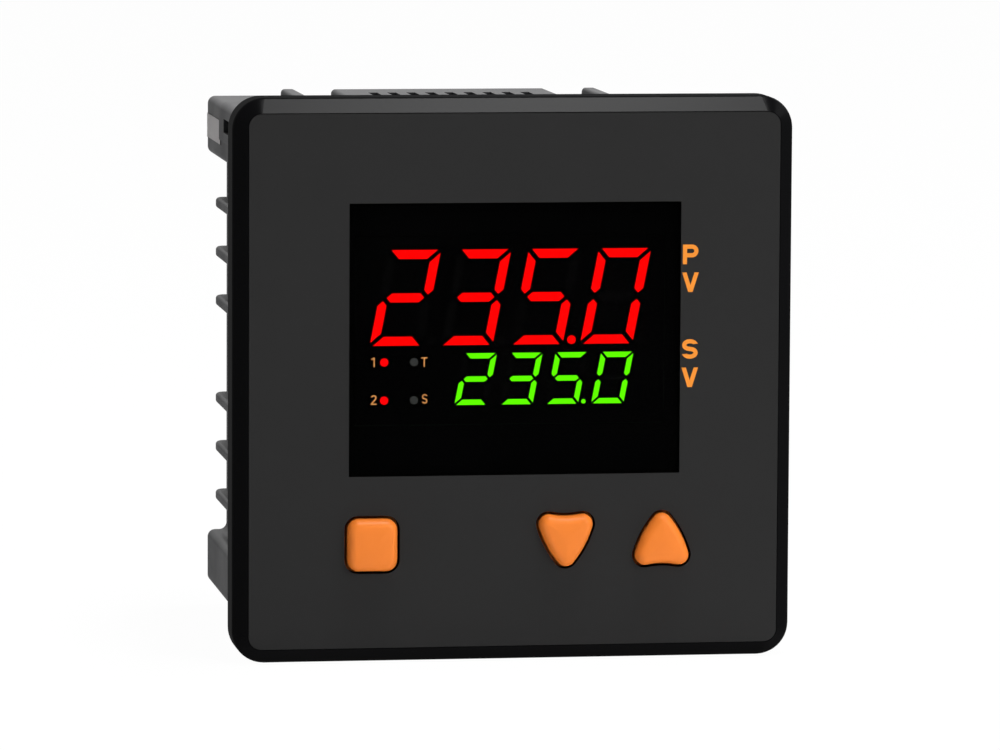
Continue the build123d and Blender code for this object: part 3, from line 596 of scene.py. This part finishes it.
class ControllerStage(bpy.types.Operator):
    """Set the floor, the lights and the camera"""

    bl_idname = "controller.stage"
    bl_label = "Stage"

    floor_half_width = 6.0
    floor_reach = 4.0
    sweep_radius = 1.5
    sweep_steps = 12
    backdrop_height = 4.0
    paper_light = 0.98
    sensor_width = 36.0

    def execute(self, context):
        settings = context.scene.controller_stage
        self.make_floor(context, settings)
        self.make_world(context, settings)
        self.make_lamps(context, settings)
        self.make_camera(context, settings)
        context.scene.view_settings.view_transform = "Standard"
        return {"FINISHED"}

    def make_floor(self, context, settings):
        """A floor that sweeps up into a backdrop behind the object."""
        level = CAD_BOX[0][2]
        reach, radius = self.floor_reach, self.sweep_radius
        profile = [(-reach, 0.0), (reach, 0.0)]
        for step in range(1, self.sweep_steps + 1):
            angle = math.pi / 2 * step / self.sweep_steps
            profile.append((reach + radius * math.sin(angle), radius - radius * math.cos(angle)))
        profile.append((reach + radius, self.backdrop_height))
        sides = (-self.floor_half_width, self.floor_half_width)
        vertices = [(x, y, level + z) for y, z in profile for x in sides]
        faces = [(2 * i, 2 * i + 1, 2 * i + 3, 2 * i + 2) for i in range(len(profile) - 1)]
        mesh = bpy.data.meshes.new("floor")
        mesh.from_pydata(vertices, [], faces)
        mesh.polygons.foreach_set("use_smooth", [True] * len(mesh.polygons))
        floor = bpy.data.objects.new("floor", mesh)
        context.scene.collection.objects.link(floor)
        mesh.materials.append(self.floor_paper(settings))

    def floor_paper(self, settings):
        """Pale paper that is lit evenly where it is seen, and still keeps the object's shadow."""
        material, tree, shader = blank_material("floor_paper", roughness=0.9, specular=0.0)
        surface = place_group(tree, moulded_grain_group(), grain_size=2 * MM, mottle_size=300 * MM)
        tree.links.new(mottled(tree, surface, settings.floor_colour, 0.985, 1.0),
                       shader.inputs["Base Color"])
        paper = tree.nodes.new("ShaderNodeEmission")
        paper.inputs["Color"].default_value = WHITE
        mixed = tree.nodes.new("ShaderNodeMixShader")
        tree.links.new(product(tree, seen_rays(tree), self.paper_light), mixed.inputs["Fac"])
        tree.links.new(shader.outputs["BSDF"], mixed.inputs[1])
        tree.links.new(paper.outputs["Emission"], mixed.inputs[2])
        tree.links.new(mixed.outputs["Shader"], tree.nodes["Material Output"].inputs["Surface"])
        return material

    def make_world(self, context, settings):
        """Even light all round, and white where the camera and reflections see it."""
        world = bpy.data.worlds.new("surround")
        context.scene.world = world
        world.use_nodes = True
        tree = world.node_tree
        background = tree.nodes["Background"]
        background.inputs["Color"].default_value = WHITE
        level = rescale(tree, seen_rays(tree), 0.0, 1.0, new_low=settings.world_level)
        tree.links.new(level, background.inputs["Strength"])

    def make_lamps(self, context, settings):
        """A softbox above the object, a larger one in front at the right, and one behind."""
        lamps = (("top_softbox", settings.top_power, (0.11, -0.02, 0.75), 0.36, 0.15),
                 ("front_softbox", settings.front_power, (0.95, -1.2, 0.8), 0.8, 0.8),
                 ("rear_softbox", settings.rear_power, (1.2, 0.9, 0.9), 0.8, 0.8))
        for name, power, place, width, height in lamps:
            light = bpy.data.lights.new(name, "AREA")
            light.shape = "RECTANGLE"
            light.size = width
            light.size_y = height
            light.energy = power
            lamp = bpy.data.objects.new(name, light)
            context.scene.collection.objects.link(lamp)
            lamp.location = place
            lamp.rotation_euler = (-Vector(place)).to_track_quat("-Z", "Y").to_euler()

    def make_camera(self, context, settings):
        """The camera at the photograph's place."""
        azimuth, elevation, roll = settings.azimuth, settings.elevation, settings.roll
        forward = Vector((math.sin(azimuth) * math.cos(elevation), math.cos(azimuth) * math.cos(elevation),
                          -math.sin(elevation)))
        level = Vector((math.cos(azimuth), -math.sin(azimuth), 0.0))
        up = level.cross(forward)
        right = math.cos(roll) * level + math.sin(roll) * up
        up = -math.sin(roll) * level + math.cos(roll) * up
        data = bpy.data.cameras.new("camera")
        data.lens = settings.lens
        data.sensor_width = self.sensor_width
        data.sensor_fit = "HORIZONTAL"
        data.clip_start = 0.01
        data.clip_end = 100.0
        camera = bpy.data.objects.new("camera", data)
        context.scene.collection.objects.link(camera)
        place = right * settings.across + up * settings.upward - forward * settings.distance
        place += Vector((0.0, FRONT_Y, 0.0))
        turn = Matrix((right, up, -forward)).transposed().to_4x4()
        camera.matrix_world = Matrix.Translation(place) @ turn
        context.scene.camera = camera


class ControllerFrontFrame(bpy.types.Operator):
    """Finish the front frame and the gasket behind it"""

    bl_idname = "controller.front_frame"
    bl_label = "Front Frame"

    def execute(self, context):
        settings = context.scene.controller_front
        dress(moulded("frame_gloss", settings.frame_colour, settings.frame_roughness, specular=0.0,
                      grain=0.8 * MM, relief=0.03, mottle=0.05, edge_sheen=0.0, coat=0.06, coat_roughness=0.28),
              "bezel_frame")
        dress(moulded("gasket_rubber", settings.gasket_colour, roughness=0.75, specular=0.2, relief=0.3),
              "panel_gasket")
        return {"FINISHED"}


class ControllerFrontSheet(bpy.types.Operator):
    """Finish the front sheet and print the letters beside the window"""

    bl_idname = "controller.front_sheet"
    bl_label = "Front Sheet"

    letter_x = 30.05 * MM
    letter_heights = (21.2 * MM, 16.45 * MM, 5.05 * MM, 0.2 * MM)
    letter_stroke = 0.215

    def execute(self, context):
        settings = context.scene.controller_front
        dress(moulded("front_film", settings.sheet_colour, roughness=0.55, specular=0.06, grain=0.16 * MM,
                      relief=0.25, mottle=0.02, edge_sheen=0.0), "front_overlay")
        places = [(self.letter_x, z) for z in self.letter_heights]
        lettering("row_letters", "PVSV", places, settings.letter_height, self.letter_stroke, FRONT_Y, -1,
                  printed("letter_ink", settings.print_colour))
        return {"FINISHED"}


class ControllerWindow(bpy.types.Operator):
    """Finish the smoked window and print the marks beside the lamps"""

    bl_idname = "controller.window"
    bl_label = "Window"

    mark_places = ((-24.35 * MM, 3.35 * MM), (-24.25 * MM, -3.05 * MM),
                   (-15.6 * MM, 3.3 * MM), (-15.5 * MM, -2.95 * MM))
    mark_stroke = 0.11

    def execute(self, context):
        settings = context.scene.controller_display
        dress(smoked_window("window_smoke", settings.smoke), "display_lens")
        dress(moulded("inner_black", shade(2, 2, 2), roughness=0.8, specular=0.02, edge_sheen=0.0),
              "display_shroud", "display_module")
        lettering("lamp_marks", "12TS", self.mark_places, settings.mark_height, self.mark_stroke, FRONT_Y,
                  -1, printed("mark_ink", settings.mark_colour))
        return {"FINISHED"}


class ControllerDigits(bpy.types.Operator):
    """Light the digits and the lamps"""

    bl_idname = "controller.digits"
    bl_label = "Digits and Lamps"

    def execute(self, context):
        settings = context.scene.controller_display
        dress(lit("upper_light", settings.upper_colour, settings.glow), "pv_segments_lit")
        dress(lit("lower_light", settings.lower_colour, settings.glow), "sv_segments_lit")
        dress(lit("lamp_light", settings.lamp_colour, settings.glow), "indicator_lamps_lit")
        dress(moulded("stroke_unlit", shade(5, 5, 5), roughness=0.6, specular=0.1, edge_sheen=0.0),
              "segments_dark")
        dress(moulded("lamp_unlit", shade(150, 154, 152), roughness=0.6, specular=0.2, edge_sheen=0.0),
              "indicator_lamps_dark")
        return {"FINISHED"}


class ControllerKeys(bpy.types.Operator):
    """Make the three soft-edged key caps"""

    bl_idname = "controller.keys"
    bl_label = "Keys"

    flange_width = 0.9 * MM
    flange_depth = 0.8 * MM
    side_start = 0.05 * MM
    square_radius = 1.9 * MM
    arrow_bulge = 1.0 * MM
    arrow_hollow = 1.1 * MM
    arrow_width = 10.3 * MM
    arrow_height = 10.5 * MM
    tip_radius = 1.7 * MM
    foot_radius = 1.7 * MM
    arc_steps = 10
    rim_steps = 12
    rim_power = 0.9
    crown_rings = 5

    def execute(self, context):
        settings = context.scene.controller_keys
        material = moulded("key_orange", settings.colour, roughness=0.45, specular=0.2, grain=0.2 * MM,
                           relief=0.08, mottle=0.02, edge_sheen=0.0)
        for key in KEYS:
            self.make_cap(key, settings, material)
        return {"FINISHED"}

    def make_cap(self, key, settings, material):
        """One key cap: a flange, an upright side, a soft rim and a slightly crowned face."""
        low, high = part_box(key + "_key_cap")
        centre = Vector(((low[0] + high[0]) / 2, (low[2] + high[2]) / 2))
        if key == "mode":
            outline = self.square_outline(low, high)
        else:
            outline = self.turned(self.arrow_outline(), 1 if key == "up" else -1)
            reach = [point.y for point in outline(self.flange_width)]
            centre.y -= (max(reach) + min(reach)) / 2
        layers = [(outline(grow), y) for grow, y in self.profile(low[1], high[1], settings)]
        face, rim_y = layers[-1]
        middle = sum(face, Vector((0.0, 0.0))) / len(face)
        for step in range(1, self.crown_rings):
            share = 1 - step / self.crown_rings
            layers.append(([middle + (point - middle) * share for point in face],
                           rim_y - settings.crown * (1 - share * share)))
        layers.append(([middle], low[1]))
        vertices = [(centre.x + point.x, y, centre.y + point.y) for ring, y in layers for point in ring]
        faces = ring_faces(len(face), len(layers) - 1)
        piece = new_piece(key + "_key_top", vertices, faces, material, key + "_key")
        settle_normals(piece)
        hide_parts(key + "_key_cap")

    def profile(self, front, back, settings):
        """The outline's growth and the depth of each ring, from the flange's back to the face."""
        shoulder = back - self.flange_depth
        rings = [(self.flange_width, back), (self.flange_width, shoulder), (0.0, shoulder),
                 (0.0, shoulder - self.side_start)]
        face = front + settings.crown
        for step in range(self.rim_steps + 1):
            angle = math.pi / 2 * step / self.rim_steps
            rings.append((-settings.edge_inset * (1 - math.cos(angle) ** self.rim_power),
                          face + settings.edge_drop * (1 - math.sin(angle) ** self.rim_power)))
        return rings

    def square_outline(self, low, high):
        """The square key's outline as a function of its growth."""
        half_x = (high[0] - low[0]) / 2 - self.flange_width - self.square_radius
        half_z = (high[2] - low[2]) / 2 - self.flange_width - self.square_radius

        def outline(grow):
            radius = self.square_radius + grow
            points = []
            for turn, (sx, sz) in enumerate(((1, 1), (-1, 1), (-1, -1), (1, -1))):
                for step in range(self.arc_steps + 1):
                    angle = math.pi / 2 * (turn + step / self.arc_steps)
                    points.append(Vector((sx * half_x + radius * math.cos(angle),
                                          sz * half_z + radius * math.sin(angle))))
            return points
        return outline

    def arrow_outline(self):
        """The arrow key's outline, pointing up, as a function of its growth."""
        half, rise = self.arrow_width / 2, self.arrow_height / 2
        side = Vector((half, -2 * rise))
        outward = Vector((2 * rise, half)).normalized()
        side_radius = (side.length ** 2 / 4 + self.arrow_bulge ** 2) / (2 * self.arrow_bulge)
        side_centre = side / 2 + Vector((0.0, rise)) + outward * (self.arrow_bulge - side_radius)
        foot_radius = (half ** 2 + self.arrow_hollow ** 2) / (2 * self.arrow_hollow)
        foot_centre = Vector((0.0, -rise + self.arrow_hollow - foot_radius))
        tip_rise = math.sqrt((side_radius - self.tip_radius) ** 2 - side_centre.x ** 2)
        tip = Vector((0.0, side_centre.y + tip_rise))
        near, far = side_radius - self.foot_radius, foot_radius + self.foot_radius
        apart = side_centre - foot_centre
        along = (far ** 2 - near ** 2 + apart.length ** 2) / (2 * apart.length)
        across = math.sqrt(far ** 2 - along ** 2)
        unit = apart.normalized()
        corner = foot_centre + unit * along + Vector((unit.y, -unit.x)) * across

        def direction(start, end):
            return math.atan2(end.y - start.y, end.x - start.x)

        at_tip, at_corner = direction(side_centre, tip), direction(side_centre, corner)
        arcs = ((tip, self.tip_radius, 1, math.pi / 2, at_tip),
                (side_centre, side_radius, 1, at_tip, at_corner),
                (corner, self.foot_radius, 1, at_corner, direction(corner, foot_centre)),
                (foot_centre, foot_radius, -1, direction(foot_centre, corner), math.pi / 2))

        def outline(grow):
            half_points = []
            for centre, radius, sign, start, end in arcs:
                for step in range(self.arc_steps):
                    angle = start + (end - start) * step / self.arc_steps
                    size = radius + sign * grow
                    half_points.append(centre + Vector((math.cos(angle), math.sin(angle))) * size)
            bottom = foot_centre + Vector((0.0, foot_radius - grow))
            mirrored = [Vector((-p.x, p.y)) for p in reversed(half_points[1:])]
            return list(reversed(half_points + [bottom] + mirrored))
        return outline

    def turned(self, outline, turn):
        """The outline as it is, or turned half round."""
        return lambda grow: [point * turn for point in outline(grow)]


def ring_faces(count, rings):
    """Faces between rings of points in order, a fan to the point after the last, and a flat back."""
    faces = []
    for start in range(0, (rings - 1) * count, count):
        faces += [(start + i, start + (i + 1) % count, start + count + (i + 1) % count, start + count + i)
                  for i in range(count)]
    last = (rings - 1) * count
    faces += [(last + i, last + (i + 1) % count, last + count) for i in range(count)]
    faces.append(tuple(reversed(range(count))))
    return faces


def settle_normals(piece):
    """Turns all faces of a closed piece outward and marks its sharp edges."""
    shell = bmesh.new()
    shell.from_mesh(piece.data)
    bmesh.ops.recalc_face_normals(shell, faces=shell.faces)
    for edge in shell.edges:
        edge.smooth = len(edge.link_faces) != 2 or edge.calc_face_angle() < SHARP_ANGLE
    shell.to_mesh(piece.data)
    shell.free()


class ControllerSwitches(bpy.types.Operator):
    """Finish the push switches under the keys"""

    bl_idname = "controller.switches"
    bl_label = "Switches"

    def execute(self, context):
        dress(moulded("switch_black", shade(24, 24, 25), roughness=0.5),
              *(key + "_switch_body" for key in KEYS))
        dress(moulded("plunger_grey", shade(150, 150, 148), roughness=0.5),
              *(key + "_switch_plunger" for key in KEYS))
        return {"FINISHED"}


class ControllerCase(bpy.types.Operator):
    """Finish the moulded case"""

    bl_idname = "controller.case"
    bl_label = "Case"

    # Bounds of the painted highlight band on the clamp rails.
    rail_x = 44.35 * MM
    rail_low = 36.5 * MM
    rail_high = 40.7 * MM
    rail_start = 43.4 * MM

    def execute(self, context):
        settings = context.scene.controller_case
        material = moulded("case_satin", settings.case_colour, roughness=0.5, specular=0.04,
                           grain=settings.grain_size, relief=0.22, mottle=0.06, edge_sheen=0.3, dust=0.02,
                           coat_roughness=0.5)
        self.gloss_and_painted_highlight(material.node_tree, settings)
        dress(material, "case_shell")
        return {"FINISHED"}

    def gloss_and_painted_highlight(self, tree, settings):
        """A thin gloss on the faces that look up, and a painted highlight: a lighter band on two clamp
        rails, the upper one at the left and the lower one at the right.
        """
        shader = tree.nodes["Principled BSDF"]
        veil = place_group(tree, settled_dust_group())
        gloss = product(tree, veil.outputs["Upward"], settings.top_gloss)
        tree.links.new(gloss, shader.inputs["Coat Weight"])
        place = tree.nodes.new("ShaderNodeSeparateXYZ")
        tree.links.new(tree.nodes.new("ShaderNodeTexCoord").outputs["Object"], place.inputs["Vector"])
        side = calculate(tree, "SIGN", place.outputs["X"])
        height = product(tree, place.outputs["Z"], side, -1.0)
        outward = calculate(tree, "ABSOLUTE", place.outputs["X"])
        # Painted highlight band: the upper rail at the left and the lower rail at the right are painted
        # lighter.
        rail_highlight_band = product(tree, calculate(tree, "GREATER_THAN", outward, self.rail_x),
                       calculate(tree, "GREATER_THAN", height, self.rail_low),
                       calculate(tree, "LESS_THAN", height, self.rail_high),
                       calculate(tree, "GREATER_THAN", place.outputs["Y"], self.rail_start))
        base = shader.inputs["Base Color"].links[0].from_socket
        highlighted_base = mix_colours(tree, rail_highlight_band, base, tuple(settings.rail_highlight_colour))
        tree.links.new(highlighted_base, shader.inputs["Base Color"])


class ControllerTerminals(bpy.types.Operator):
    """Finish the terminal blocks and their metal, and print the terminal numbers"""

    bl_idname = "controller.terminals"
    bl_label = "Terminals"

    terminal_count = 10
    label_depth = 0.3 * MM
    number_x = 15.0 * MM
    number_stroke = 0.13

    def execute(self, context):
        settings = context.scene.controller_case
        dress(moulded("block_plastic", settings.block_colour, roughness=0.55, specular=0.4, relief=0.3,
                      edge_sheen=0.2), "right_terminal_block", "left_terminal_block")
        dress(plated("contact_brass", (0.72, 0.58, 0.3), roughness=0.32), "contact_plates")
        dress(plated("plated_steel", (0.6, 0.6, 0.6), roughness=0.3), "clamp_plates", "terminal_screws")
        self.print_numbers(settings)
        return {"FINISHED"}

    def print_numbers(self, settings):
        """Plain numbers beside each terminal, counted down each row, on the floor of the label recess."""
        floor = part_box("case_shell")[1][1] - self.label_depth
        low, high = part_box("right_terminal_block")
        pitch = (high[2] - low[2]) / self.terminal_count
        words, places = [], []
        for row, side in enumerate((1, -1)):
            for index in range(self.terminal_count):
                words.append(str(row * self.terminal_count + index + 1))
                places.append((side * self.number_x, high[2] - (index + 0.5) * pitch))
        lettering("terminal_numbers", words, places, settings.number_height, self.number_stroke, floor, 1,
                  printed("number_ink", settings.number_colour))


class ControllerBoards(bpy.types.Operator):
    """Finish the circuit boards, their screws and plugs"""

    bl_idname = "controller.boards"
    bl_label = "Boards"

    def execute(self, context):
        settings = context.scene.controller_board
        dress(circuit_board("board_lacquer", settings.board_colour, settings.track_colour),
              "display_board", "power_board", "control_board")
        dress(plated("screw_steel", (0.62, 0.62, 0.6), roughness=0.28), "display_board_screws")
        dress(moulded("plug_black", shade(22, 22, 23), roughness=0.5), "right_header", "left_header")
        dress(plated("pin_gold", (0.8, 0.62, 0.28), roughness=0.25), "header_pins")
        return {"FINISHED"}


class ControllerElectronics(bpy.types.Operator):
    """Finish the electronic parts on the boards"""

    bl_idname = "controller.electronics"
    bl_label = "Electronics"

    def execute(self, context):
        dress(moulded("chip_epoxy", shade(30, 30, 32), roughness=0.6, specular=0.3, relief=0.3),
              "microcontroller", "converter_chip", "optocouplers")
        dress(plated("crystal_can", (0.66, 0.66, 0.68), roughness=0.3), "clock_crystal")
        dress(moulded("relay_blue", shade(28, 52, 112), roughness=0.4), "relay_upper", "relay_lower")
        dress(moulded("ferrite", shade(52, 50, 50), roughness=0.7, specular=0.3, relief=0.5),
              "transformer_core")
        dress(moulded("bobbin_black", shade(22, 22, 23), roughness=0.5), "transformer_base")
        dress(moulded("winding_tape", shade(222, 184, 60), roughness=0.35, grain=0.6 * MM),
              "transformer_winding")
        dress(moulded("can_sleeve", shade(24, 30, 62), roughness=0.3), "filter_capacitor",
              "output_capacitor")
        dress(moulded("fuse_brown", shade(92, 46, 26), roughness=0.4), "fuse")
        dress(moulded("disc_blue", shade(30, 80, 150), roughness=0.35, relief=0.4), "varistor")
        return {"FINISHED"}


PIECE_OPERATORS = (ControllerFrontFrame, ControllerFrontSheet, ControllerWindow, ControllerDigits,
                   ControllerKeys, ControllerSwitches, ControllerCase, ControllerTerminals, ControllerBoards,
                   ControllerElectronics)


class ControllerPanel(bpy.types.Panel):
    """Lists the settings and the steps of the controller"""

    bl_idname = "VIEW3D_PT_controller"
    bl_label = "Temperature Controller"
    bl_space_type = "VIEW_3D"
    bl_region_type = "UI"
    bl_category = "Controller"

    def draw(self, context):
        for operator in (ControllerStage, *PIECE_OPERATORS):
            self.layout.operator(operator.bl_idname)
        for name in SETTINGS:
            settings = getattr(context.scene, name)
            column = self.layout.column(align=True)
            column.label(text=SETTINGS[name].__doc__)
            for setting in SETTINGS[name].__annotations__:
                column.prop(settings, setting)


SETTINGS = {
    "controller_front": FrontSettings,
    "controller_display": DisplaySettings,
    "controller_keys": KeySettings,
    "controller_case": CaseSettings,
    "controller_board": BoardSettings,
    "controller_stage": StageSettings,
}
CLASSES = (*SETTINGS.values(), ControllerStage, *PIECE_OPERATORS, ControllerPanel)


def register():
    """Adds the classes and the scene's settings."""
    for cls in CLASSES:
        bpy.utils.register_class(cls)
    for name, cls in SETTINGS.items():
        setattr(bpy.types.Scene, name, PointerProperty(type=cls))


def unregister():
    """Takes the settings and the classes away again."""
    for name in SETTINGS:
        delattr(bpy.types.Scene, name)
    for cls in reversed(CLASSES):
        bpy.utils.unregister_class(cls)


def main():
    """Builds the stage and every piece."""
    register()
    for operator in (ControllerStage, *PIECE_OPERATORS):
        group, name = operator.bl_idname.split(".")
        getattr(getattr(bpy.ops, group), name)()


if __name__ == "__main__":
    main()
